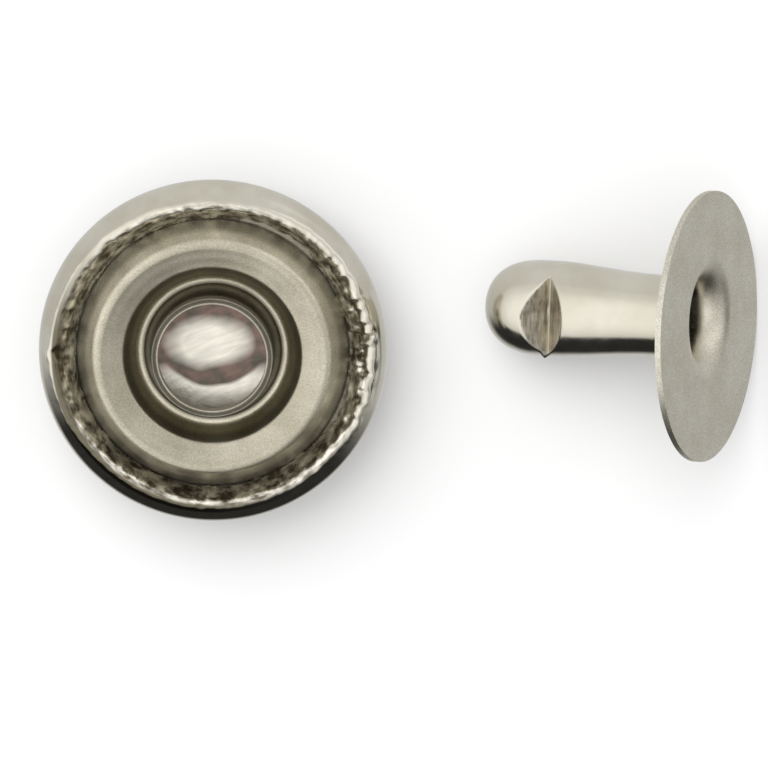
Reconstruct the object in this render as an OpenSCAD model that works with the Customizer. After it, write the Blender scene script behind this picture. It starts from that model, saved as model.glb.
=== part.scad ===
// Two-part rapid rivet, 12 mm cap and 8 mm post, not yet set.
// The cap lies on its dome with the open side up; the hollow post lies
// beside it on the edge of its flange and the shoulder of its closed end.

/* [Cap shell] */
// widest diameter of the cap
cap_dia = 12; // [9:0.1:15]
// thickness of the shell's sheet
shell_t = 0.22; // [0.15:0.01:0.35]
// height of the widest level above the top of the dome
dome_rise = 2.25; // [1.5:0.05:3.5]
// height of the folded rim above the widest level
rim_rise = 1.05; // [0.7:0.01:1.4]
// how far the crest of the folded rim lies in from the widest edge
rim_crest_in = 0.67; // [0.4:0.01:1]
// how far in from the widest edge the folded edge of the shell ends
rim_edge_in = 1.27; // [1.1:0.01:1.6]

/* [Cap insert] */
// thickness of the insert's sheet
insert_t = 0.2; // [0.15:0.01:0.3]
// gap between the insert's brim and the shell's wall
brim_gap = 0.2; // [0.1:0.01:0.4]
// how far the raised crest of the plate lies in from the cap's widest edge
crest_in = 2.04; // [1.9:0.01:2.3]
// height of the crest above the shell's widest level
crest_h = 1.08; // [0.7:0.01:1.3]
// drop from the crest to the bend where the plate turns down into the groove
crest_drop = 0.34; // [0.2:0.01:0.5]
// width of the groove's floor
groove_w = 0.40; // [0.2:0.01:0.6]
// height of the groove's floor above the widest level
groove_h = -0.10; // [-0.4:0.01:0.5]
// how far the collar flares out between its straight part and the groove's floor
collar_foot = 0.33; // [0.2:0.01:0.5]
// gap all round between the post's largest part and the hole of the collar
socket_gap = 0.22; // [0.1:0.01:0.4]
// height of the collar's lip above the widest level
collar_h = 1.12; // [0.8:0.01:1.3]

/* [Post] */
// overall length from the flange's face to the closed end
post_len = 8.1; // [6:0.05:12]
// diameter of the flange
flange_dia = 9.24; // [8:0.02:10]
// thickness of the post's sheet
post_t = 0.2; // [0.15:0.01:0.3]
// how far the flange was trimmed off the stem's axis
flange_offset = 0.28; // [0:0.01:0.4]
// radius of the stem just past the flange
stem_r = 1.38; // [1.2:0.01:1.7]
// largest radius of the stem, at the pinch
bulge_r = 1.65; // [1.4:0.005:1.9]
// radius of the rolled mouth where the flange turns into the bore
mouth_round = 0.95; // [0.3:0.01:1.1]

/* [Pinch] */
// distance of the pinched crease from the closed end
pinch_from_end = 2.54; // [2.3:0.01:3]
// height of the crease above the stem's axis
pinch_h = 0.87; // [0.5:0.01:1.3]
// angle of each side of the pinch to the stem's axis
pinch_slope = 45; // [35:1:60]
// turn of the pinch about the stem's axis
pinch_turn = 4.5; // [-20:0.5:30]
// how far the crease runs off square to the stem
pinch_skew = -5; // [-10:0.5:10]

/* [Lying] */
// lean of the post's axis as it lies on the table
post_lean = 24.23; // [20:0.1:30]
// turn of the post about the upright
post_yaw = 1.5; // [-5:0.1:5]
// place of the cap's axis
cap_x = -6.433; // [-20:0.01:0]
cap_y = 0.000; // [-5:0.01:5]
// place of the middle of the flange's face
post_x = 10.527; // [0:0.01:20]
post_y = 1.570; // [-5:0.01:5]
post_z = 4.2944; // [3:0.001:6]

/* [Hidden] */
$fn = 96;
arc_step = 10;
cap_r = cap_dia / 2;
half = shell_t / 2;
seat_h = 0.2;            // top of the insert's brim above the widest level
rim_crest_r = cap_r - rim_crest_in;
rim_edge_r = cap_r - rim_edge_in;
crest_r = cap_r - crest_in;
brim_r = cap_r - shell_t - brim_gap;
socket_r = bulge_r + socket_gap;
flange_r = flange_dia / 2;
pinch_at = post_len - pinch_from_end;

// ---- bent sheet: a middle line of [r, z, bend radius] given its thickness ----
function unit(v) = v / norm(v);
function bend(a, b, c, r) =
  let (u = unit(a - b), v = unit(c - b),
       h = acos(max(-1, min(1, u * v))) / 2,
       cen = b + unit(u + v) * r / sin(h),
       s = b + u * r / tan(h) - cen, e = b + v * r / tan(h) - cen,
       a0 = atan2(s[1], s[0]), a1 = atan2(e[1], e[0]),
       turn = (a1 - a0 + 540) % 360 - 180,
       n = max(2, ceil(abs(turn) / arc_step)))
  [for (k = [0 : n]) cen + r * [cos(a0 + turn * k / n), sin(a0 + turn * k / n)]];
function flat2(p) = [p[0], p[1]];
function bent(path) = [
  for (i = [0 : len(path) - 1])
    let (p = path[i])
    each (i == 0 || i == len(path) - 1 || p[2] == 0 ? [flat2(p)]
      : bend(flat2(path[i - 1]), flat2(p), flat2(path[i + 1]), p[2]))];
function across(line, i) =
  let (n = len(line),
       a = unit(line[min(i + 1, n - 1)] - line[min(i, n - 2)]),
       b = unit(line[max(i, 1)] - line[max(i - 1, 0)]),
       m = unit(a + b))
  [-m[1], m[0]] / (m * a);
function side(line, d) = [for (i = [0 : len(line) - 1]) line[i] + d * across(line, i)];
function back(list) = [for (i = [len(list) - 1 : -1 : 0]) list[i]];
module sheet(line, t) {
  a = side(line, t / 2);
  b = side(line, -t / 2);
  polygon([for (p = concat(a, back(b))) [max(p[0], 0), p[1]]]);
}
function oval(cx, cz, rx, rz, a0, a1, n) =
  [for (k = [0 : n]) let (a = a0 + (a1 - a0) * k / n) [cx + rx * cos(a), cz + rz * sin(a)]];

// ---- cap shell: drawn dome, rounded shoulder, rim folded in over the insert ----
shoulder_x = 0.62;       // half width of the rounded shoulder
shoulder_z = 0.82;       // half height of the same
shoulder_end = 52;       // angle at which it turns straight to the crest
fold_round = 0.13;       // radius of the sheet's middle line in the fold
fold_rise = 0.08;        // height of the fold's corner over its round
edge_slant = 0.09;       // middle of the cut edge, out from its inner line
edge_rise = 0.03;        // and up from the insert's brim
shell_line = concat(
  oval(0, dome_rise, cap_r - half, dome_rise - half, -90, -8, 16),
  oval(cap_r - half - shoulder_x, dome_rise, shoulder_x, shoulder_z, 0, shoulder_end, 6),
  bend([cap_r - half - shoulder_x + shoulder_x * cos(shoulder_end),
        dome_rise + shoulder_z * sin(shoulder_end)],
       [rim_crest_r - 0.01, dome_rise + rim_rise - half + fold_rise],
       [rim_edge_r + edge_slant, dome_rise + seat_h + edge_rise], fold_round),
  [[rim_edge_r + edge_slant, dome_rise + seat_h + edge_rise]]);

module cap_shell() {
  color("silver") translate([cap_x, cap_y, 0])
    rotate_extrude() difference() {
      sheet(shell_line, shell_t);
      translate([rim_edge_r - shell_t, dome_rise]) square([3 * shell_t, seat_h]);
    }
}

// ---- cap insert: stamped plate with a raised crest, a groove and an open collar ----
insert_mid = insert_t / 2;
collar_r = socket_r + insert_mid;
groove_in = collar_r + collar_foot;
groove_out = groove_in + groove_w;
brim_bend = 0.07;        // bend of the brim, in from the shell's folded edge
collar_len = 0.48;       // straight part of the collar, from its lip
// the plate turns down into the groove a third of the way from its floor to the crest
groove_edge_r = groove_out + 0.34 * (crest_r - groove_out);
insert_line = bent([
  [brim_r, seat_h - insert_mid, 0],
  [rim_edge_r - brim_bend, seat_h - insert_mid, insert_t],
  [crest_r, crest_h, 1.1 * insert_t],
  [groove_edge_r, crest_h - crest_drop, 0.8 * insert_t],
  [groove_out, groove_h - insert_mid, 0.65 * insert_t],
  [groove_in, groove_h - insert_mid, 0.65 * insert_t],
  [collar_r, collar_h - collar_len, 1.1 * insert_t],
  [collar_r, collar_h, 0]]);

module cap_insert() {
  color("gainsboro") translate([cap_x, cap_y, dome_rise])
    rotate_extrude() sheet(insert_line, insert_t);
}

// ---- post: one drawn piece, flange rolled into a hollow stem with a closed end ----
mid_r = stem_r - post_t / 2;
mouth_mid = mouth_round - post_t / 2;
tip_len = 2.1;          // length of the rounded end
tip_ratio = 2.5;         // power of the end's curve: 2 is an oval, more is blunter
blank_r = flange_r + flange_offset + post_t;   // the flange before it is trimmed
// the stem's swelling: share of the way to the pinch, share of the swelling
swell = [[0.288, 0], [0.432, 0.09], [0.558, 0.25], [0.683, 0.48], [0.81, 0.74],
         [0.917, 0.91], [1, 1]];
stem_line = concat(
  [[blank_r, post_t / 2]],
  bend([flange_r, post_t / 2], [mid_r, post_t / 2], [mid_r, mouth_mid * 2], mouth_mid),
  [for (s = swell) [mid_r + (bulge_r - stem_r) * s[1], pinch_at * s[0]]],
  [[bulge_r - post_t / 2, (pinch_at + post_len - tip_len) / 2]],
  [for (a = [8 : 82 / 14 : 90.01])
    [(bulge_r - post_t / 2) * pow(max(cos(a), 0), 2 / tip_ratio),
     post_len - tip_len + (tip_len - post_t / 2) * pow(sin(a), 2 / tip_ratio)]]);
outer_side = side(stem_line, -post_t / 2);
inner_side = side(stem_line, post_t / 2);

// V dent across the stem; grow = thickness of wall left below it
cut = 2 * bulge_r;
module dent(grow) {
  drop = grow / cos(pinch_slope);
  rotate([0, 0, -pinch_turn]) translate([0, pinch_h - drop, pinch_at])
    rotate([0, pinch_skew, 0]) rotate([0, 90, 0])
      linear_extrude(height = 4 * bulge_r, center = true)
        polygon([[0, 0], [cut, cut * tan(pinch_slope)], [-cut, cut * tan(pinch_slope)]]);
}

module post_upright() {
  // outside, cut square at the flange's face, trimmed round the rim
  intersection() {
    difference() {
      rotate_extrude() polygon(concat([[0, 0]], [[blank_r, 0]], [[blank_r, post_t]],
        [for (p = outer_side) if (p[0] < flange_r && p[1] >= post_t - 0.001) [max(p[0], 0), p[1]]]));
      dent(0);
      // the hollow: the bore and its rolled mouth, less the dented wall
      difference() {
        rotate_extrude() polygon(concat([[0, -post_t]], [[mid_r - post_t / 2 + mouth_round, -post_t]],
          [for (p = inner_side) if (p[0] < flange_r - 0.5 && p[1] >= -0.001) [max(p[0], 0), p[1]]]));
        dent(post_t);
      }
    }
    translate([flange_offset, 0, -post_t]) cylinder(r = flange_r, h = post_len + 2 * post_t);
  }
}

module post() {
  color("lightgray") translate([post_x, post_y, post_z])
    rotate([0, 0, post_yaw]) rotate([0, -90 - post_lean, 0]) rotate([0, 0, -90])
      post_upright();
}

cap_shell();
cap_insert();
post();
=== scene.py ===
import math
from types import SimpleNamespace

import bmesh
import bpy
from mathutils import Matrix, Vector, noise


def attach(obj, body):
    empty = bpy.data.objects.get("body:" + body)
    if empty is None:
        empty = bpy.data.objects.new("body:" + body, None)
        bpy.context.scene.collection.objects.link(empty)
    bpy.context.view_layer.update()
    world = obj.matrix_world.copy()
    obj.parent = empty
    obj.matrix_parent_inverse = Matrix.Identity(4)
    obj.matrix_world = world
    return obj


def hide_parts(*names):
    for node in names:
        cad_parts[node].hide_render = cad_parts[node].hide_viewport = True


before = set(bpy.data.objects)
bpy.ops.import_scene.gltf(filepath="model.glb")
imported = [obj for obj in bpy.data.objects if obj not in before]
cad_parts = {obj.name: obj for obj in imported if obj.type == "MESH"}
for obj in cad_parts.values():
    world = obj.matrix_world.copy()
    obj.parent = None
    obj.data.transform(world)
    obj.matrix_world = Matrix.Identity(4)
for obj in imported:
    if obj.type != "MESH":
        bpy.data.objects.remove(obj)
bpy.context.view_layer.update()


# ---------------------------------------------------------------------------
# Cap shell. A round blank of thin steel sheet is drawn into a shallow dome
# and nickel plated bright. Its rim is then folded in and rolled down over the
# insert, so the short folded edge is puckered and scratched all the way round.
# ---------------------------------------------------------------------------
MM = 0.001
CAP_AXIS = Vector((-6.433, 0.0, 0.0))
SHELL_SHEET = 0.22
# a hair inside the solid's radius, so that the finer mesh stays within its box
SHELL_RADIUS = 5.994
SHELL_COLUMNS = 672
DOME_RISE = 2.25
DOME_END = -8
DOME_STEPS = 15
RIM_RISE = 1.05
RIM_CREST = 5.33
RIM_EDGE = 4.73
SEAT = 0.2
# the shoulder over the widest level: the two radii of its oval, and the angle where it ends
SHOULDER = (0.62, 0.82)
SHOULDER_END = 52
SHOULDER_STEPS = 9
FOLD_ROUND = 0.13
FOLD_RISE = 0.08
FOLD_LENGTH = 0.9
EDGE_SLANT = 0.09
EDGE_RISE = 0.03
FOLD_STEP = 0.045
FOLD_BEND_STEP = 5
# edges that turn more than this stay sharp, as the cut edges of the sheets do
SHARP_TURN = math.radians(35)

# how far the folded edge reaches in or out round the cap: degrees, mm
EDGE_REACH = [
    (-180, 0.0), (-165, -0.03), (-130, 0.03), (-90, 0.04), (-60, -0.03), (-30, 0.1),
    (0, 0.0), (20, -0.08), (40, 0.0), (50, 0.12), (70, 0.12), (90, -0.02), (120, -0.04),
    (130, 0.0), (170, 0.0), (180, 0.0),
]
# how far the crest of the fold wanders in or out, the same way
CREST_REACH = [
    (-180, 0.12), (-160, 0.04), (-135, -0.12), (-90, -0.11), (-45, -0.09), (-15, 0.06),
    (0, 0.10), (45, 0.08), (90, -0.06), (135, 0.04), (165, 0.05), (180, 0.12),
]
# the share of the sheet's length over which that dies away, before the crest and after it
CREST_SPREAD = (0.05, 0.09)
FOLD_LEAD = 0.045
# puckers seen one by one: degrees, width in degrees, depth in mm
PUCKERS = [
    (-28, 2.5, 0.09), (-55, 3.0, 0.07), (-84, 3.0, 0.06), (-95, 2.0, 0.05), (-140, 3.0, 0.07),
    (179, 2.4, 0.20), (163, 2.5, 0.08), (147, 3.0, 0.07), (132, 3.5, 0.08), (113, 3.0, 0.06),
    (38, 2.4, 0.09), (28, 2.0, 0.10), (21, 1.6, 0.09), (8, 1.8, 0.09), (-6, 2.0, 0.10), (-14, 1.8, 0.08),
]
PUCKER_AT_CREST = 0.6
# the way a pucker is pressed, outward and down, and how far the sheet stands off between them
PRESSED_WAY = (0.8, 0.6)
STANDS_OFF = 0.03
# the crumpling between them: depth and size in mm, and a number that picks its pattern
PLEATS = (0.20, 0.42, 3.0)
DENTS = (0.14, 0.28, 9.0)
EDGE_WAVES = (0.16, 0.45, 5.0)
EDGE_NICKS = (0.06, 0.17, 7.0)
EDGE_SAGS = (0.05, 0.6, 2.0)
# the right side is crumpled most: the share all round, and the side's degrees, width and share
CRUMPLED = 0.40
CRUMPLED_SIDE = (2, 42.0, 0.75)


def along_bend(before, corner, after, radius, step):
    """Points of the arc that rounds a corner of a bent sheet's middle line."""
    to_before = (Vector(before) - Vector(corner)).normalized()
    to_after = (Vector(after) - Vector(corner)).normalized()
    half = to_before.angle(to_after) / 2
    centre = Vector(corner) + (to_before + to_after).normalized() * radius / math.sin(half)
    start = Vector(corner) + to_before * radius / math.tan(half) - centre
    end = Vector(corner) + to_after * radius / math.tan(half) - centre
    first = math.atan2(start.y, start.x)
    turn = (math.atan2(end.y, end.x) - first + math.pi) % (2 * math.pi) - math.pi
    count = max(3, math.ceil(abs(math.degrees(turn)) / step))
    angles = [first + turn * k / count for k in range(count + 1)]
    return [centre + radius * Vector((math.cos(a), math.sin(a))) for a in angles]


def along_oval(centre, radii, first, last, count):
    """Points of part of an oval, with the angles in degrees."""
    angles = [math.radians(first + (last - first) * k / count) for k in range(count + 1)]
    return [Vector((centre[0] + radii[0] * math.cos(a), centre[1] + radii[1] * math.sin(a))) for a in angles]


def spaced(line, longest):
    """The same line with no step between points longer than given."""
    points = [line[0]]
    for a, b in zip(line, line[1:]):
        count = max(1, math.ceil((b - a).length / longest))
        points += [a + (b - a) * k / count for k in range(1, count + 1)]
    return points


def upright(angle, r, z, place, inner):
    """A vertex of a plain turned sheet."""
    return r * math.cos(angle), r * math.sin(angle), z


def turned(name, line, thickness, columns, shape=upright):
    """A closed mesh of bent sheet turned about the z axis, from its middle line of (r, z) in mm.
    shape(angle, r, z, place, inner) gives a vertex's x, y and z. place runs from 0 to 1 along the
    line, and inner says which face of the sheet the vertex is on."""
    length = [0.0]
    for a, b in zip(line, line[1:]):
        length.append(length[-1] + (b - a).length)
    sides = ([], [])
    for i, point in enumerate(line):
        ahead = (line[min(i + 1, len(line) - 1)] - line[min(i, len(line) - 2)]).normalized()
        behind = (line[max(i, 1)] - line[max(i - 1, 0)]).normalized()
        mean = (ahead + behind).normalized()
        if point.x < 1e-6:
            mean = Vector((math.copysign(1.0, mean.x), 0.0))
        across = Vector((-mean.y, mean.x)) / max(0.5, mean.dot(ahead)) * thickness / 2
        sides[0].append((point + across, length[i] / length[-1], True))
        sides[1].append((point - across, length[i] / length[-1], False))
    loop = sides[0] + sides[1][::-1]
    vertices = []
    grid = []
    for c in range(columns):
        angle = 2 * math.pi * c / columns
        column = []
        for i, (point, place, inner) in enumerate(loop):
            # a point on the axis is one vertex, shared by every column
            if point.x < 1e-6 and c > 0:
                column.append(grid[0][i])
                continue
            column.append(len(vertices))
            x, y, z = shape(angle, max(point.x, 0.0), point.y, place, inner)
            vertices.append((x * MM, y * MM, z * MM))
        grid.append(column)
    faces = []
    for here, beside in zip(grid, grid[1:] + grid[:1]):
        for i in range(len(loop)):
            j = (i + 1) % len(loop)
            face = list(dict.fromkeys((here[i], beside[i], beside[j], here[j])))
            if len(face) > 2:
                faces.append(face)
    mesh = bpy.data.meshes.new(name)
    mesh.from_pydata(vertices, [], faces)
    piece = bpy.data.objects.new(name, mesh)
    bpy.context.scene.collection.objects.link(piece)
    return piece


def finish_mesh(piece, placing):
    """Faces the mesh outward, smooths it and sets it down in its place."""
    solid = bmesh.new()
    solid.from_mesh(piece.data)
    bmesh.ops.recalc_face_normals(solid, faces=solid.faces)
    solid.to_mesh(piece.data)
    solid.free()
    piece.data.shade_smooth()
    piece.data.set_sharp_from_angle(angle=SHARP_TURN)
    piece.data.transform(placing)


shell_middle = SHELL_RADIUS - SHELL_SHEET / 2
dome = along_oval((0, DOME_RISE), (shell_middle, DOME_RISE - SHELL_SHEET / 2), -90, DOME_END, DOME_STEPS)
shoulder_centre = (shell_middle - SHOULDER[0], DOME_RISE)
shoulder = along_oval(shoulder_centre, SHOULDER, 0, SHOULDER_END, SHOULDER_STEPS)
rim_corner = Vector((RIM_CREST - 0.01, DOME_RISE + RIM_RISE - SHELL_SHEET / 2 + FOLD_RISE))
rim_end = Vector((RIM_EDGE + EDGE_SLANT, DOME_RISE + SEAT + EDGE_RISE))
fold = along_bend(shoulder[-1], rim_corner, rim_end, FOLD_ROUND, FOLD_BEND_STEP) + [rim_end]
shell_line = dome + shoulder + spaced([shoulder[-1]] + fold, FOLD_STEP)[1:]

# the share of the sheet's length that lies before the crest of the fold
total = 0.0
fold_starts = 0.0
for a, b in zip(shell_line, shell_line[1:]):
    total += (b - a).length
    if b.x > rim_corner.x and b.y > DOME_RISE + RIM_RISE / 2:
        fold_starts = total
fold_starts /= total


def reach_at(table, degrees):
    """The table's value at an angle, eased from one entry to the next."""
    for (a, low), (b, high) in zip(table, table[1:]):
        if a <= degrees <= b:
            t = (degrees - a) / (b - a)
            return low + (high - low) * t * t * (3 - 2 * t)
    return 0.0


def pucker_at(degrees):
    """Depth of the single puckers at an angle."""
    depth = 0.0
    for place, width, amount in PUCKERS:
        away = (degrees - place + 180) % 360 - 180
        if abs(away) < 3 * width:
            depth += amount * math.exp(-(away / width) ** 2)
    return depth


def crumple(kind, angle, inward=0.0):
    """Smooth noise over the fold, in mm, that closes on itself round the rim."""
    depth, size, pattern = kind
    around = RIM_CREST / size
    return depth * noise.noise(Vector((math.cos(angle) * around + pattern, math.sin(angle) * around,
                                       inward * FOLD_LENGTH / size)))


def fold_rim(angle, r, z, place, inner):
    """Moves the folded-in edge of the shell in, out and down to its puckers."""
    degrees = (math.degrees(angle) + 180) % 360 - 180
    beside = (place - fold_starts) / (CREST_SPREAD[0] if place < fold_starts else CREST_SPREAD[1])
    r += reach_at(CREST_REACH, degrees) * math.exp(-beside * beside)
    inward = min(1.0, (place - fold_starts + FOLD_LEAD) / (1 - fold_starts + FOLD_LEAD))
    if inward > 0:
        side, width, most = CRUMPLED_SIDE
        rough = CRUMPLED + most * math.exp(-((degrees - side) / width) ** 2)
        # the pleats run straight in over the fold, so they hardly change on the way
        sunk = rough * (abs(crumple(PLEATS, angle, inward * 0.15)) + crumple(DENTS, angle, inward))
        sunk += pucker_at(degrees) * PUCKER_AT_CREST * (1 + inward) - STANDS_OFF
        # the sheet is held at the crest and at its edge, and sinks between them
        sunk *= math.sin(math.pi * inward * 0.96) ** 1.4
        rise = inward * inward * (3 - 2 * inward)
        edge = reach_at(EDGE_REACH, degrees)
        edge += rough * (crumple(EDGE_WAVES, angle) + crumple(EDGE_NICKS, angle))
        r += PRESSED_WAY[0] * sunk + rise * edge
        z -= PRESSED_WAY[1] * sunk + rise * abs(crumple(EDGE_SAGS, angle))
    return r * math.cos(angle), r * math.sin(angle), z


cap_shell = turned("cap_shell_nickel", shell_line, SHELL_SHEET, SHELL_COLUMNS, fold_rim)
finish_mesh(cap_shell, Matrix.Translation(CAP_AXIS * MM))


def linear(colour):
    """An sRGB hex colour as Blender's linear colour."""
    channels = [int(colour[i:i + 2], 16) / 255 for i in (1, 3, 5)]
    return tuple(c / 12.92 if c <= 0.04045 else ((c + 0.055) / 1.055) ** 2.4 for c in channels) + (1.0,)


def add_node(tree, kind, inputs=(), output=0, **settings):
    """Adds a node, makes its settings, sets or links its inputs and returns one of its outputs.
    The inputs are given in the node's own order, or by name or number."""
    node = tree.nodes.new("ShaderNode" + kind)
    for name, value in settings.items():
        setattr(node, name, value)
    if not isinstance(inputs, dict):
        inputs = dict(enumerate(inputs))
    for name, value in inputs.items():
        if isinstance(value, bpy.types.NodeSocket):
            tree.links.new(value, node.inputs[name])
        else:
            node.inputs[name].default_value = value
    return node.outputs[output]


# clouds in the plate's tone and in its haze, in mm
CLOUD = 1.4
HAZE = 0.5


def plated(name, light, dark, smoothness, grain, grain_depth):
    """Nickel plate on pressed steel sheet: a warm grey mirror over the faint orange peel of the
    sheet, with slow changes of tone. smoothness is its lowest and highest roughness. grain and
    grain_depth are in mm."""
    material = bpy.data.materials.new(name)
    material.use_nodes = True
    tree = material.node_tree
    surface = tree.nodes["Principled BSDF"]
    surface.inputs["Metallic"].default_value = 1.0
    place = add_node(tree, "TexCoord", output="Object")
    tone = add_node(tree, "TexNoise", {"Vector": place, "Scale": 1 / (CLOUD * MM), "Detail": 3.0})
    tone = add_node(tree, "MapRange", (tone, 0.35, 0.65))
    tone = add_node(tree, "Mix", {0: tone, 6: linear(dark), 7: linear(light)}, 2, data_type="RGBA")
    gloss = add_node(tree, "TexNoise", {"Vector": place, "Scale": 1 / (HAZE * MM), "Detail": 4.0})
    gloss = add_node(tree, "MapRange", (gloss, 0.3, 0.7, *smoothness))
    peel = add_node(tree, "TexNoise", {"Vector": place, "Scale": 1 / (grain * MM), "Detail": 2.0})
    peel = add_node(tree, "Bump", {"Height": peel, "Distance": grain_depth * MM})
    plate = SimpleNamespace(material=material, tree=tree, surface=surface, place=place,
                            tone=tone, gloss=gloss, peel=peel)
    wear(plate, tone, gloss, peel)
    return plate


def wear(plate, tone=None, gloss=None, normal=None):
    """Gives the plate's surface a new tone, roughness or normal."""
    for name, socket in (("Base Color", tone), ("Roughness", gloss), ("Normal", normal)):
        if socket:
            plate.tree.links.new(socket, plate.surface.inputs[name])


def from_axis(plate, axis):
    """The way from an upright axis, and its length, in mm."""
    away = add_node(plate.tree, "VectorMath", (plate.place, axis * MM), operation="SUBTRACT")
    away = add_node(plate.tree, "VectorMath", (away, (1 / MM, 1 / MM, 0)), operation="MULTIPLY")
    return away, add_node(plate.tree, "VectorMath", (away,), "Value", operation="LENGTH")


# Bright nickel on smoothly drawn sheet mirrors the room with soft edges. The fold was crumpled
# against the die, so there the plate is scratched, creased and dirty in streaks along the rim; the dark
# streaks are partly real dirt and partly painted shade in the creases.
FOLD_BEGINS = (5.42, 5.22)
ABOVE_SHOULDER = (DOME_RISE + 0.2, DOME_RISE + 0.3)
STREAK_RADIUS = 5.2
STREAK_LENGTH = 0.55
STREAK_WIDTH = 0.16
outside = plated("nickel_plate_drawn_shell", "#D3CFC2", "#C8C3B3", (0.12, 0.2), 0.10, 0.0012)
tree = outside.tree
away, radius = from_axis(outside, CAP_AXIS)
height = add_node(tree, "SeparateXYZ", (outside.place,), "Z")
upper = add_node(tree, "MapRange", (height, ABOVE_SHOULDER[0] * MM, ABOVE_SHOULDER[1] * MM))
folded = add_node(tree, "MapRange", (radius, *FOLD_BEGINS))
folded = add_node(tree, "Math", (folded, upper), operation="MULTIPLY")
streaks = STREAK_RADIUS / STREAK_LENGTH
round_rim = add_node(tree, "VectorMath", (away,), operation="NORMALIZE")
round_rim = add_node(tree, "VectorMath", (round_rim, (streaks, streaks, 0)), operation="MULTIPLY")
across_rim = add_node(tree, "Math", (radius, STREAK_WIDTH), operation="DIVIDE")
across_rim = add_node(tree, "CombineXYZ", {"Z": across_rim})
# streaks along the rim: real dirt and painted shade in the creases of the fold
dirt_and_crease_shade = add_node(tree, "VectorMath", (round_rim, across_rim), operation="ADD")
dirt_and_crease_shade = add_node(tree, "TexNoise", {"Vector": dirt_and_crease_shade, "Scale": 1.0, "Detail": 3.0, "Roughness": 0.55})
dirt_and_crease_shade = add_node(tree, "MapRange", (dirt_and_crease_shade, 0.38, 0.62))
dirt_and_crease_shade = add_node(tree, "Mix", {0: dirt_and_crease_shade, 6: linear("#6A6354"), 7: linear("#F0ECDF")}, 2, data_type="RGBA")
shade = add_node(tree, "Mix", {0: folded, 6: outside.tone, 7: dirt_and_crease_shade}, 2, data_type="RGBA")

# the near left of the fold's crest is painted dark: painted shade where the crest would otherwise mirror the
# soft light
PAINTED_SHADE_WAY = (-0.77, -0.64, 0)
PAINTED_SHADE_REACH = (0.4, 3.6)
PAINTED_SHADE_INSIDE = (5.14, 5.26)
PAINTED_SHADE_OUTSIDE = (5.54, 5.47)
near_left = add_node(tree, "VectorMath", (away, PAINTED_SHADE_WAY), "Value", operation="DOT_PRODUCT")
near_left = add_node(tree, "MapRange", (near_left, *PAINTED_SHADE_REACH))
past_inside = add_node(tree, "MapRange", (radius, *PAINTED_SHADE_INSIDE))
past_outside = add_node(tree, "MapRange", (radius, *PAINTED_SHADE_OUTSIDE))
crest = add_node(tree, "Math", (past_inside, past_outside), operation="MULTIPLY")
painted_crest_shade = add_node(tree, "Math", (near_left, crest), operation="MULTIPLY")
painted_crest_shade = add_node(tree, "Math", (painted_crest_shade, upper), operation="MULTIPLY")
# mixes the painted shade into the crest at the near left
shade = add_node(tree, "Mix", {0: painted_crest_shade, 6: shade, 7: linear("#6E6858")}, 2, data_type="RGBA")
gloss = add_node(tree, "Math", (folded, 0.12, outside.gloss), operation="MULTIPLY_ADD")
wear(outside, shade, gloss)
cap_shell.data.materials.append(outside.material)

# Inside the dome the plate is bright at the middle and at the near edge, with a ring of painted shade
# between them, standing for the shade of the hollow under the hole, that gives the eye a dark iris, and fine
# rub marks over all of it.
INSIDE_RADIUS = 5.2
DRIFT = 1.3
IRIS_SHADE_SIZE = 0.45
# the ring's inner edge: its middle, its squeeze each way, and the radii where it begins and is full
IRIS_MIDDLE = (0.2, 0.13, 0)
IRIS_SQUEEZE = (0.72, 1.2, 0)
IRIS_EDGE = (0.68, 1.22)
# the near edge left free of the painted shade, kept bright where light falls in, the same way
NEAR_MIDDLE = (0.05, -0.30, 0)
NEAR_EDGE = (1.93, 2.06)
NEAR_SIDE = (0.8, 1.35)
# rub marks to the millimetre, along and across, and the way that they slant
RUB_MARKS = (0.7, 5.0, 1)
RUB_SLANT = math.radians(-22)
inside = plated("nickel_plate_shell_inside", "#DDD9CD", "#D3CFC2", (0.14, 0.24), 0.10, 0.0012)
tree = inside.tree
away, radius = from_axis(inside, CAP_AXIS)
drift = add_node(tree, "TexNoise", {"Vector": inside.place, "Scale": 1 / (DRIFT * MM), "Detail": 1.5})
drift = add_node(tree, "MapRange", (drift, 0, 1, -0.3, 0.3))
middle = add_node(tree, "VectorMath", (away, IRIS_MIDDLE), operation="ADD")
middle = add_node(tree, "VectorMath", (middle, IRIS_SQUEEZE), operation="MULTIPLY")
middle = add_node(tree, "VectorMath", (middle,), "Value", operation="LENGTH")
iris_shade_share = add_node(tree, "Math", (middle, drift), operation="ADD")
iris_shade_share = add_node(tree, "MapRange", (iris_shade_share, *IRIS_EDGE))
near_edge = add_node(tree, "VectorMath", (away, NEAR_MIDDLE), operation="ADD")
near_edge = add_node(tree, "VectorMath", (near_edge,), "Value", operation="LENGTH")
near_edge = add_node(tree, "Math", (drift, 0.5, near_edge), operation="MULTIPLY_ADD")
near_edge = add_node(tree, "MapRange", (near_edge, *NEAR_EDGE))
near_side = add_node(tree, "VectorMath", (away, (0.0, -1.0, 0)), "Value", operation="DOT_PRODUCT")
near_side = add_node(tree, "MapRange", (near_side, *NEAR_SIDE))
near_edge = add_node(tree, "Math", (near_edge, near_side), operation="MULTIPLY")
not_near = add_node(tree, "Math", (1.0, near_edge), operation="SUBTRACT")
iris_shade_share = add_node(tree, "Math", (iris_shade_share, not_near), operation="MULTIPLY")
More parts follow.
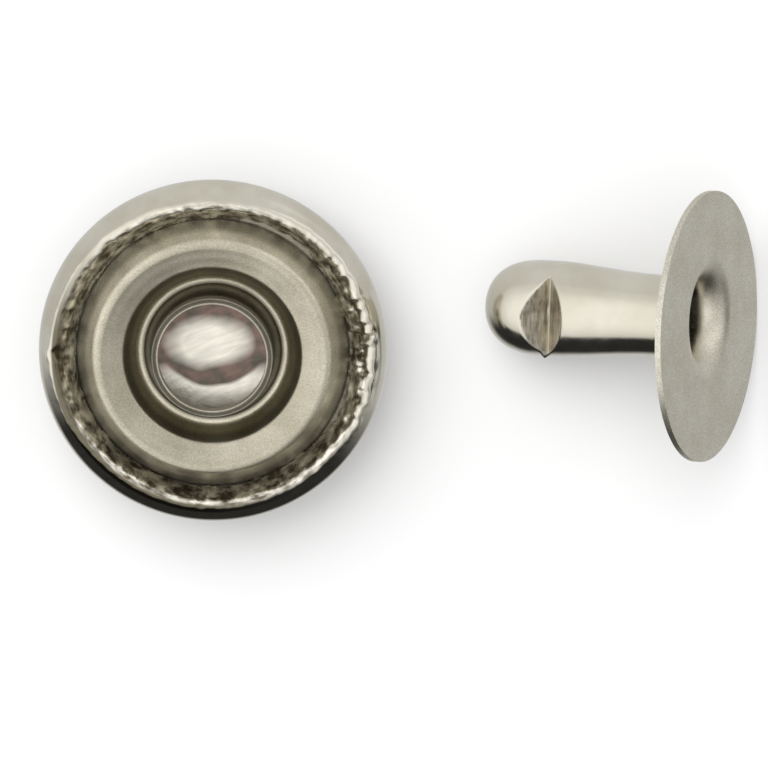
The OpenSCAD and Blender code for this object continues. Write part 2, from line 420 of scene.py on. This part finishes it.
# painted shade: a dull dark ring where the hollow inside the dome lies in shade
painted_iris_shade = add_node(tree, "TexNoise", {"Vector": inside.place, "Scale": 1 / (IRIS_SHADE_SIZE * MM), "Detail": 2.0})
painted_iris_shade = add_node(tree, "MapRange", (painted_iris_shade, 0.35, 0.65))
painted_iris_shade = add_node(tree, "Mix", {0: painted_iris_shade, 6: linear("#57534B"), 7: linear("#75625A")}, 2, data_type="RGBA")
shade = add_node(tree, "Mix", {0: iris_shade_share, 6: inside.tone, 7: painted_iris_shade}, 2, data_type="RGBA")
rubbed = add_node(tree, "VectorRotate", {"Vector": away, "Angle": RUB_SLANT}, rotation_type="Z_AXIS")
rubbed = add_node(tree, "VectorMath", (rubbed, RUB_MARKS), operation="MULTIPLY")
rubbed = add_node(tree, "TexNoise", {"Vector": rubbed, "Scale": 1.0, "Detail": 2.0})
rubbed = add_node(tree, "MapRange", (rubbed, 0.3, 0.6, 0.86, 1.03))
shade = add_node(tree, "Mix", {0: 1.0, 6: shade, 7: rubbed}, 2, data_type="RGBA", blend_type="MULTIPLY")
wear(inside, shade)
cap_shell.data.materials.append(inside.material)
for face in cap_shell.data.polygons:
    centre = face.center / MM - CAP_AXIS
    if face.normal.z > 0.2 and centre.xy.length < INSIDE_RADIUS and centre.z < DOME_RISE:
        face.material_index = 1
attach(cap_shell, "root")
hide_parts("cap_shell")


# ---------------------------------------------------------------------------
# Cap insert. A plate stamped from the same steel sheet and nickel plated, with
# a raised crest, a groove, and a round open collar in the middle that takes
# the post's end. The folded rim of the shell holds it down by its brim.
# ---------------------------------------------------------------------------
INSERT_SHEET = 0.2
INSERT_COLUMNS = 360
INSERT_STEP = 0.12
INSERT_BEND_STEP = 6
BRIM_RADIUS = 5.58
CONE_FOOT = 4.66
CREST_RADIUS = 3.96
CREST_RISE = 1.08
GROOVE_EDGE = 3.13
GROOVE_EDGE_DROP = 0.34
GROOVE_OUT = 2.70
GROOVE_IN = 2.30
GROOVE_FLOOR = -0.2
COLLAR_RADIUS = 1.97
COLLAR_RISE = 1.12
COLLAR_LENGTH = 0.48

# corners of the sheet's middle line: radius, height above the widest level, bend radius
insert_corners = [
    (BRIM_RADIUS, SEAT - INSERT_SHEET / 2, 0),
    (CONE_FOOT, SEAT - INSERT_SHEET / 2, 0.2),
    (CREST_RADIUS, CREST_RISE, 0.22),
    (GROOVE_EDGE, CREST_RISE - GROOVE_EDGE_DROP, 0.16),
    (GROOVE_OUT, GROOVE_FLOOR, 0.3),
    (GROOVE_IN, GROOVE_FLOOR, 0.13),
    (COLLAR_RADIUS, COLLAR_RISE - COLLAR_LENGTH, 0.22),
    (COLLAR_RADIUS, COLLAR_RISE, 0),
]
insert_line = [Vector(insert_corners[0][:2])]
for before, corner, after in zip(insert_corners, insert_corners[1:], insert_corners[2:]):
    insert_line += along_bend(before[:2], corner[:2], after[:2], corner[2], INSERT_BEND_STEP)
insert_line.append(Vector(insert_corners[-1][:2]))
insert_line = [point + Vector((0, DOME_RISE)) for point in spaced(insert_line, INSERT_STEP)]

cap_insert = turned("cap_insert_nickel", insert_line, INSERT_SHEET, INSERT_COLUMNS)
finish_mesh(cap_insert, Matrix.Translation(CAP_AXIS * MM))

# Nickel on stamped sheet is satin: the steel's grain shows through it, drawn a little coarser than
# it is so that it can be seen. The collar's lip, the groove and the corner under the fold are darker,
# partly from dirt and drawing oil and partly from painted shade, and the crest and the groove's floor
# carry painted highlights. RING_TONES_DIRT_AND_PAINTED_LIGHT gives the tone by radius in mm, out to
# RINGS_REACH.
RING_TONES_DIRT_AND_PAINTED_LIGHT = [
    (1.90, 0.9), (1.93, 0.2), (2.03, 0.2), (2.06, 0.6), (2.12, 0.22), (2.40, 0.3), (2.48, 1.2), (2.62, 1.6),
    (2.80, 1.5), (2.90, 0.9), (3.10, 1.0), (3.92, 1.0), (4.02, 1.25), (4.30, 1.2), (4.44, 0.75), (4.72, 0.6),
]
RINGS_REACH = 6.0
STAMPED_GRAIN = 0.055
DIE_RING = 0.42
DIE_RING_DEPTH = 0.0022
stamped = plated("nickel_plate_stamped_insert", "#BCB7A8", "#ACA797", (0.28, 0.38), 0.07, 0.003)
tree = stamped.tree
away, radius = from_axis(stamped, CAP_AXIS)
# tone by radius: dirt with painted shade, and painted highlights on the crest and the groove's floor
share = add_node(tree, "Math", (radius, RINGS_REACH), operation="DIVIDE")
rings = add_node(tree, "ValToRGB", (share,))
stops = rings.node.color_ramp.elements
for _ in RING_TONES_DIRT_AND_PAINTED_LIGHT[2:]:
    stops.new(0.5)
for stop, (place, tone) in zip(stops, RING_TONES_DIRT_AND_PAINTED_LIGHT):
    stop.position = place / RINGS_REACH
    stop.color = (tone, tone * 0.985, tone * 0.95, 1)
shade = add_node(tree, "Mix", {0: 1.0, 6: stamped.tone, 7: rings}, 2, data_type="RGBA", blend_type="MULTIPLY")
fine = 1 / (STAMPED_GRAIN * MM)
grain = add_node(tree, "TexNoise", {"Vector": stamped.place, "Scale": fine, "Detail": 1.0})
grain = add_node(tree, "MapRange", (grain, 0.3, 0.7, 0.84, 1.12))
shade = add_node(tree, "Mix", {0: 1.0, 6: shade, 7: grain}, 2, data_type="RGBA", blend_type="MULTIPLY")
# the die left faint rings
wave = add_node(tree, "Math", (radius, 2 * math.pi / DIE_RING), operation="MULTIPLY")
wave = add_node(tree, "Math", (wave,), operation="SINE")
wave = add_node(tree, "Bump", {"Height": wave, "Distance": DIE_RING_DEPTH * MM, "Normal": stamped.peel})
# beyond the crest the sheet is matt, with painted shade towards the near side and painted light towards the
# far side
MATT_BEGINS = (4.0, 4.25)
beyond = add_node(tree, "MapRange", (radius, *MATT_BEGINS))
painted_side_light = add_node(tree, "VectorMath", (away, (0, 1, 0)), "Value", operation="DOT_PRODUCT")
painted_side_light = add_node(tree, "MapRange", (painted_side_light, -4.0, 4.0, 0.72, 1.18))
# the painted shade and light by side, beyond the crest
side_shaded = add_node(tree, "Mix", {0: 1.0, 6: shade, 7: painted_side_light}, 2, data_type="RGBA", blend_type="MULTIPLY")
shade = add_node(tree, "Mix", {0: beyond, 6: shade, 7: side_shaded}, 2, data_type="RGBA")
gloss = add_node(tree, "Math", (beyond, 0.22, stamped.gloss), operation="MULTIPLY_ADD")
wear(stamped, shade, gloss, wave)
cap_insert.data.materials.append(stamped.material)
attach(cap_insert, "root")
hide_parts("cap_insert")


# ---------------------------------------------------------------------------
# Post. One blank drawn into a flange and a hollow stem with a closed round
# end, nickel plated bright, then pinched once across the stem so the wall folds
# in to a sharp crease. It lies on the edge of its flange and its swollen end.
# ---------------------------------------------------------------------------
POST_SHEET = 0.2
POST_COLUMNS = 288
POST_LENGTH = 8.1
# a hair inside the solid's radius too
FLANGE_RADIUS = 4.617
FLANGE_OFFSET = 0.28
STEM_RADIUS = 1.38
BULGE_RADIUS = 1.65
MOUTH_ROUND = 0.95
MOUTH_BEND_STEP = 4
MOUTH_EDGE = 2.4
END_LENGTH = 2.1
END_POWER = 2.5
END_STEPS = 30
# the longest steps of the mesh before the pinch, at it and after it, and where the short ones begin
POST_STEPS = (0.25, 0.045, 0.12)
SHORT_STEPS_FROM = 4.0
# the stem's swelling: share of the way to the pinch, share of the growth
SWELLING = [(0.288, 0), (0.432, 0.09), (0.558, 0.25), (0.683, 0.48), (0.81, 0.74), (0.917, 0.91), (1, 1)]
PINCH_AT = 5.56
PINCH_HALF = 1.3
PINCH_REACH = 1.2
PINCH_HEIGHT = 0.87
PINCH_SLOPE = math.radians(45)
PINCH_TURN = math.radians(4.5)
PINCH_SKEW = math.radians(5)
PINCH_EDGE_ROUND = 0.07
CREASE_ROUND = 0.03
# the slope towards the closed end is folded again into two flats: the fold's place, its steepness,
# its half width, its rounding, and how far from the crease it is full
FLATS = (-0.18, 0.22, 1.7, 0.02, 0.15)
# the two small points at the ends of the crease: angle, reach in mm, and their size both ways
CREASE_ENDS = [(math.radians(24), 0.11), (math.radians(166), 0.05)]
POINT_SIZE = (0.22, 0.10)
POINTS_WITHIN = 0.6
# a vertex that moved in by less than this, or as close to the crease as this, isn't scuffed
SCUFF_MARGIN = 0.02
POST_PLACE = Vector((10.527, 1.57, 4.2944))
POST_LEAN = math.radians(24.23)
POST_YAW = math.radians(1.5)

wall = STEM_RADIUS - POST_SHEET / 2
bulge = BULGE_RADIUS - POST_SHEET / 2
flange_line = [Vector((FLANGE_RADIUS + FLANGE_OFFSET, POST_SHEET / 2))]
flange_line += along_bend((FLANGE_RADIUS, POST_SHEET / 2), (wall, POST_SHEET / 2), (wall, PINCH_AT),
                          MOUTH_ROUND - POST_SHEET / 2, MOUTH_BEND_STEP)
stem_line = [Vector((wall + (bulge - wall) * grown, PINCH_AT * way)) for way, grown in SWELLING]
end_line = []
for k in range(END_STEPS + 1):
    turn = math.radians(4 + 86 * k / END_STEPS)
    end_line.append(Vector((
        bulge * max(math.cos(turn), 0) ** (2 / END_POWER),
        POST_LENGTH - END_LENGTH + (END_LENGTH - POST_SHEET / 2) * math.sin(turn) ** (2 / END_POWER),
    )))
post_line = flange_line + stem_line + end_line
before_pinch = sum(point.y < SHORT_STEPS_FROM for point in post_line)
after_pinch = sum(point.y < PINCH_AT + PINCH_HALF for point in post_line)
post_line = (spaced(post_line[:before_pinch], POST_STEPS[0])[:-1]
             + spaced(post_line[before_pinch - 1:after_pinch], POST_STEPS[1])[:-1]
             + spaced(post_line[after_pinch - 1:], POST_STEPS[2]))


def soft_lower(a, b, reach):
    """The lower of two heights, with the corner between them rounded."""
    near = max(reach - abs(a - b), 0.0) / reach
    return min(a, b) - near * near * reach / 4


def pinched(x, y, z, inner):
    """Pushes the wall of the stem in to the two slopes of the pinch."""
    across = x * math.cos(PINCH_TURN) - y * math.sin(PINCH_TURN)
    height = x * math.sin(PINCH_TURN) + y * math.cos(PINCH_TURN)
    # the rows of the mesh are slanted so that one of them lies along the crease
    z += across * math.tan(PINCH_SKEW) * max(0.0, 1 - ((z - PINCH_AT) / PINCH_HALF) ** 2)
    off = (z - PINCH_AT) * math.cos(PINCH_SKEW) - across * math.sin(PINCH_SKEW)
    if height < 0.2 or abs(off) > PINCH_REACH:
        return x, y, z
    floor = PINCH_HEIGHT + (math.hypot(off, CREASE_ROUND) - CREASE_ROUND) * math.tan(PINCH_SLOPE)
    if off > 0 and not inner:
        middle, steepness, half_width, rounding, full = FLATS
        wide = abs(across - middle)
        folded_up = steepness * (math.hypot(wide, rounding) - rounding)
        floor += folded_up * min(1.0, off / full) * max(0.0, 1 - wide / half_width)
    if inner:
        floor -= POST_SHEET / math.cos(PINCH_SLOPE)
    height = soft_lower(height, floor, PINCH_EDGE_ROUND)
    return (across * math.cos(PINCH_TURN) + height * math.sin(PINCH_TURN),
            height * math.cos(PINCH_TURN) - across * math.sin(PINCH_TURN), z)


# whether the punch pressed on each vertex
pressed = []


def drawn_post(angle, r, z, place, inner):
    """A vertex of the post. The flange was trimmed to a circle a little off the axis."""
    trim = FLANGE_OFFSET * math.cos(angle)
    trim += math.sqrt(FLANGE_RADIUS ** 2 - (FLANGE_OFFSET * math.sin(angle)) ** 2)
    if r > MOUTH_EDGE:
        widest = FLANGE_RADIUS + FLANGE_OFFSET
        r = MOUTH_EDGE + (r - MOUTH_EDGE) * (trim - MOUTH_EDGE) / (widest - MOUTH_EDGE)
    x, y, row = r * math.cos(angle), r * math.sin(angle), z
    if abs(z - PINCH_AT) < POINTS_WITHIN:
        for end, reach in CREASE_ENDS:
            gap = ((angle - end + math.pi) % (2 * math.pi) - math.pi) * BULGE_RADIUS
            off = z - PINCH_AT - PINCH_SKEW * x
            push = 1 + reach / r * math.exp(-(gap / POINT_SIZE[0]) ** 2 - (off / POINT_SIZE[1]) ** 2)
            x, y = x * push, y * push
    if z > PINCH_AT - PINCH_HALF:
        x, y, z = pinched(x, y, z, inner)
    moved = row > PINCH_AT - PINCH_HALF and math.hypot(x, y) < r - SCUFF_MARGIN
    pressed.append(moved and not inner and abs(row - PINCH_AT) > SCUFF_MARGIN)
    return x, y, z


post = turned("post_nickel", post_line, POST_SHEET, POST_COLUMNS, drawn_post)
for face in post.data.polygons:
    face.material_index = int(all(pressed[v] for v in face.vertices))
lying = (Matrix.Translation(POST_PLACE * MM) @ Matrix.Rotation(POST_YAW, 4, "Z")
         @ Matrix.Rotation(-math.pi / 2 - POST_LEAN, 4, "Y") @ Matrix.Rotation(-math.pi / 2, 4, "Z"))
finish_mesh(post, lying)

# The flange kept the dull grain of the sheet, drawn a little coarser than it is, and the stem was
# ironed to a mirror. The one fades to the other round the mouth.
POST_GRAIN = 0.06
MOUTH_FADE = (0.15, 1.6)
SATIN = 0.24
GRAIN_SHOWN = 0.22
drawn = plated("nickel_plate_drawn_post", "#D3CFC1", "#CAC5B5", (0.12, 0.2), 0.10, 0.0012)
tree = drawn.tree
stem_way = lying.to_3x3() @ Vector((0, 0, 1))
depth = add_node(tree, "VectorMath", (drawn.place, POST_PLACE * MM), operation="SUBTRACT")
depth = add_node(tree, "VectorMath", (depth, stem_way), "Value", operation="DOT_PRODUCT")
satin = add_node(tree, "MapRange", (depth, MOUTH_FADE[0] * MM, MOUTH_FADE[1] * MM, SATIN, 0.0))
grain = add_node(tree, "TexNoise", {"Vector": drawn.place, "Scale": 1 / (POST_GRAIN * MM), "Detail": 1.0})
grain = add_node(tree, "MapRange", (grain, 0.3, 0.7, -0.8, 0.7))
grain_shown = add_node(tree, "MapRange", (satin, 0, SATIN, 0, GRAIN_SHOWN))
grain = add_node(tree, "Math", (grain, grain_shown, 1.0), operation="MULTIPLY_ADD")
shade = add_node(tree, "Mix", {0: 1.0, 6: drawn.tone, 7: grain}, 2, data_type="RGBA", blend_type="MULTIPLY")
gloss = add_node(tree, "Math", (drawn.gloss, satin), operation="ADD")
wear(drawn, shade, gloss)
post.data.materials.append(drawn.material)

# The punch dragged dark scratches along the slopes of the pinch and left them satin.
SCRATCH_WIDTH = 0.09
SCRATCH_LENGTH = 0.7
scuffed = plated("nickel_plate_scuffed_by_the_punch", "#D6CFBF", "#837A68", (0.24, 0.40), 0.05, 0.006)
tree = scuffed.tree
scratches = (1 / (SCRATCH_WIDTH * MM), 1 / (SCRATCH_LENGTH * MM), 1 / (SCRATCH_WIDTH * MM))
scratches = add_node(tree, "VectorMath", (scuffed.place, scratches), operation="MULTIPLY")
scratches = add_node(tree, "TexNoise", {"Vector": scratches, "Scale": 1.0, "Detail": 2.0})
scratches = add_node(tree, "MapRange", (scratches, 0.34, 0.56, 0.6, 1.14))
shade = add_node(tree, "Mix", {0: 1.0, 6: scuffed.tone, 7: scratches}, 2,
                 data_type="RGBA", blend_type="MULTIPLY")
wear(scuffed, shade)
post.data.materials.append(scuffed.material)
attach(post, "root")
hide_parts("post")


# ---------------------------------------------------------------------------
# Studio. A matt white table in a pale room with a dark near side. A large
# soft light hangs overhead and to the left, a broad lamp at the far left casts
# the soft shadows, and the camera stands almost overhead.
# ---------------------------------------------------------------------------
# matt white board: it shows no gloss, only the soft shadows of the metal, which mirrors the room
# in its place. What the camera sees of it is lifted a little towards white.
TABLE_LIFT = 0.12
bpy.ops.mesh.primitive_plane_add(size=2.0, location=(0, 0, 0))
table = bpy.context.object
table.name = "table"
table.visible_glossy = False
white = bpy.data.materials.new("matt_white_board")
white.use_nodes = True
tree = white.node_tree
matt = tree.nodes["Principled BSDF"]
matt.inputs["Base Color"].default_value = linear("#CACACA")
matt.inputs["Roughness"].default_value = 1.0
matt.inputs["Specular IOR Level"].default_value = 0.0
matt.inputs["Emission Color"].default_value = (1, 1, 1, 1)
seen = add_node(tree, "LightPath", output="Is Camera Ray")
lift = add_node(tree, "Math", (seen, TABLE_LIFT), operation="MULTIPLY")
tree.links.new(lift, matt.inputs["Emission Strength"])
table.data.materials.append(white)

# the broad lamp, which the metal doesn't mirror
FAR_LIGHT_WAY = Vector((-0.3, 0.55, 0.78))
far_light = bpy.data.lights.new("soft_far_light", "SUN")
far_light.energy = 2.3
far_light.angle = math.radians(50)
far_lamp = bpy.data.objects.new("soft_far_light", far_light)
bpy.context.scene.collection.objects.link(far_lamp)
far_lamp.rotation_euler = FAR_LIGHT_WAY.to_track_quat("Z", "Y").to_euler()
far_lamp.visible_glossy = False

# what the metal mirrors: its direction, and the angles about it where it ends and where it is full
SOFT_LIGHT = ((-0.47, 0.08, 0.88), 67, 60)
LIGHT_MIDDLE = ((-0.52, 0.0, 0.85), 60, 14)
BRIGHT_CORNER = ((0.68, 0.66, 0.32), 32, 12)
CORNER_MORE = 0.4
RIGHT_WALL = ((0.87, 0.02, 0.42), 34, 14)
RIGHT_WALL_MORE = 0.28
DARK_THING = ((0.966, -0.214, -0.11), 22, 9)
DARK_THING_SHARE = 0.9
NEAR_TURN = math.radians(-97)
DARK_SIDE = ((math.cos(NEAR_TURN), math.sin(NEAR_TURN), 0), 72, 42)
# the lowest and highest edges of the dark side, in degrees over the horizon
DARK_FOOT = (-54, -28)
DARK_TOP = (27, 14)
# brightness of the walls low down and high up, and how much more it is at the far side
WALLS_LOW = (0.72, 0.14)
WALLS_HIGH = (0.62, 0.25)
# the heights between which they change, where 1 is straight up
WALLS_CHANGE = (-0.3, 0.2)
DARK_LEVEL = 0.03
LIGHT_LEVELS = (0.95, 1.35)

world = bpy.data.worlds.new("studio")
bpy.context.scene.world = world
world.use_nodes = True
room = world.node_tree
view = add_node(room, "TexCoord", output="Generated")
view = add_node(room, "VectorMath", (view,), operation="NORMALIZE")
level_view = add_node(room, "VectorMath", (view, (1, 1, 0)), operation="MULTIPLY")
level_view = add_node(room, "VectorMath", (level_view,), operation="NORMALIZE")
height = add_node(room, "SeparateXYZ", (view,), "Z")
far = add_node(room, "SeparateXYZ", (view,), "Y")


def within(vector, direction, outer, inner):
    """1 inside a cone about a direction and 0 outside it, with the two angles in degrees."""
    way = Vector(direction).normalized()
    reach = add_node(room, "VectorMath", (vector, way), "Value", operation="DOT_PRODUCT")
    edges = (math.cos(math.radians(outer)), math.cos(math.radians(inner)))
    return add_node(room, "MapRange", (reach, *edges), interpolation_type="SMOOTHSTEP")


def above(low, high):
    """0 below one angle over the horizon and 1 above the other, or the other way round."""
    edges = (math.sin(math.radians(low)), math.sin(math.radians(high)))
    return add_node(room, "MapRange", (height, *edges), interpolation_type="SMOOTHSTEP")


# the pale walls, with one bright corner and a paler right side
low_walls = add_node(room, "Math", (far, WALLS_LOW[1], WALLS_LOW[0]), operation="MULTIPLY_ADD")
high_walls = add_node(room, "Math", (far, WALLS_HIGH[1], WALLS_HIGH[0]), operation="MULTIPLY_ADD")
walls = add_node(room, "MapRange", (height, *WALLS_CHANGE, low_walls, high_walls))
for lit, more in ((BRIGHT_CORNER, CORNER_MORE), (RIGHT_WALL, RIGHT_WALL_MORE)):
    walls = add_node(room, "Math", (within(view, *lit), more, walls), operation="MULTIPLY_ADD")
# the dark near side and a small dark thing at the right
dark = add_node(room, "Math", (within(level_view, *DARK_SIDE), above(*DARK_FOOT)), operation="MULTIPLY")
dark = add_node(room, "Math", (dark, above(*DARK_TOP)), operation="MULTIPLY")
dark_thing = add_node(room, "Math", (within(view, *DARK_THING), DARK_THING_SHARE), operation="MULTIPLY")
dark = add_node(room, "Math", (dark, dark_thing), operation="MAXIMUM")
walls = add_node(room, "Mix", {0: dark, 2: walls, 3: DARK_LEVEL})
# the soft light, brightest at its middle
lamp = add_node(room, "MapRange", (within(view, *LIGHT_MIDDLE), 0, 1, *LIGHT_LEVELS))
level = add_node(room, "Mix", {0: within(view, *SOFT_LIGHT), 2: walls, 3: lamp})
glow = room.nodes["Background"]
glow.inputs["Color"].default_value = (1, 1, 1, 1)
room.links.new(level, glow.inputs["Strength"])

# the camera leans to the far side, and its lens is worked out from the scale of the picture
CAMERA_TILT = math.radians(12.5)
CAMERA_AWAY = 180.0
CAMERA_AIM = Vector((-0.543, -1.220, 2.0))
PIXELS_PER_MM = 28.95
PICTURE_SIDE = 768
lens = bpy.data.cameras.new("camera")
lens.sensor_width = 36.0
lens.lens = lens.sensor_width * PIXELS_PER_MM * CAMERA_AWAY / PICTURE_SIDE
lens.clip_start = 0.01
lens.clip_end = 10.0
camera = bpy.data.objects.new("camera", lens)
bpy.context.scene.collection.objects.link(camera)
back = Vector((0, math.sin(CAMERA_TILT), math.cos(CAMERA_TILT)))
upward = Vector((0, math.cos(CAMERA_TILT), -math.sin(CAMERA_TILT)))
turn = Matrix((Vector((1, 0, 0)), upward, back)).transposed().to_4x4()
camera.matrix_world = Matrix.Translation((CAMERA_AIM + back * CAMERA_AWAY) * MM) @ turn
bpy.context.scene.camera = camera
bpy.context.scene.view_settings.view_transform = "Standard"
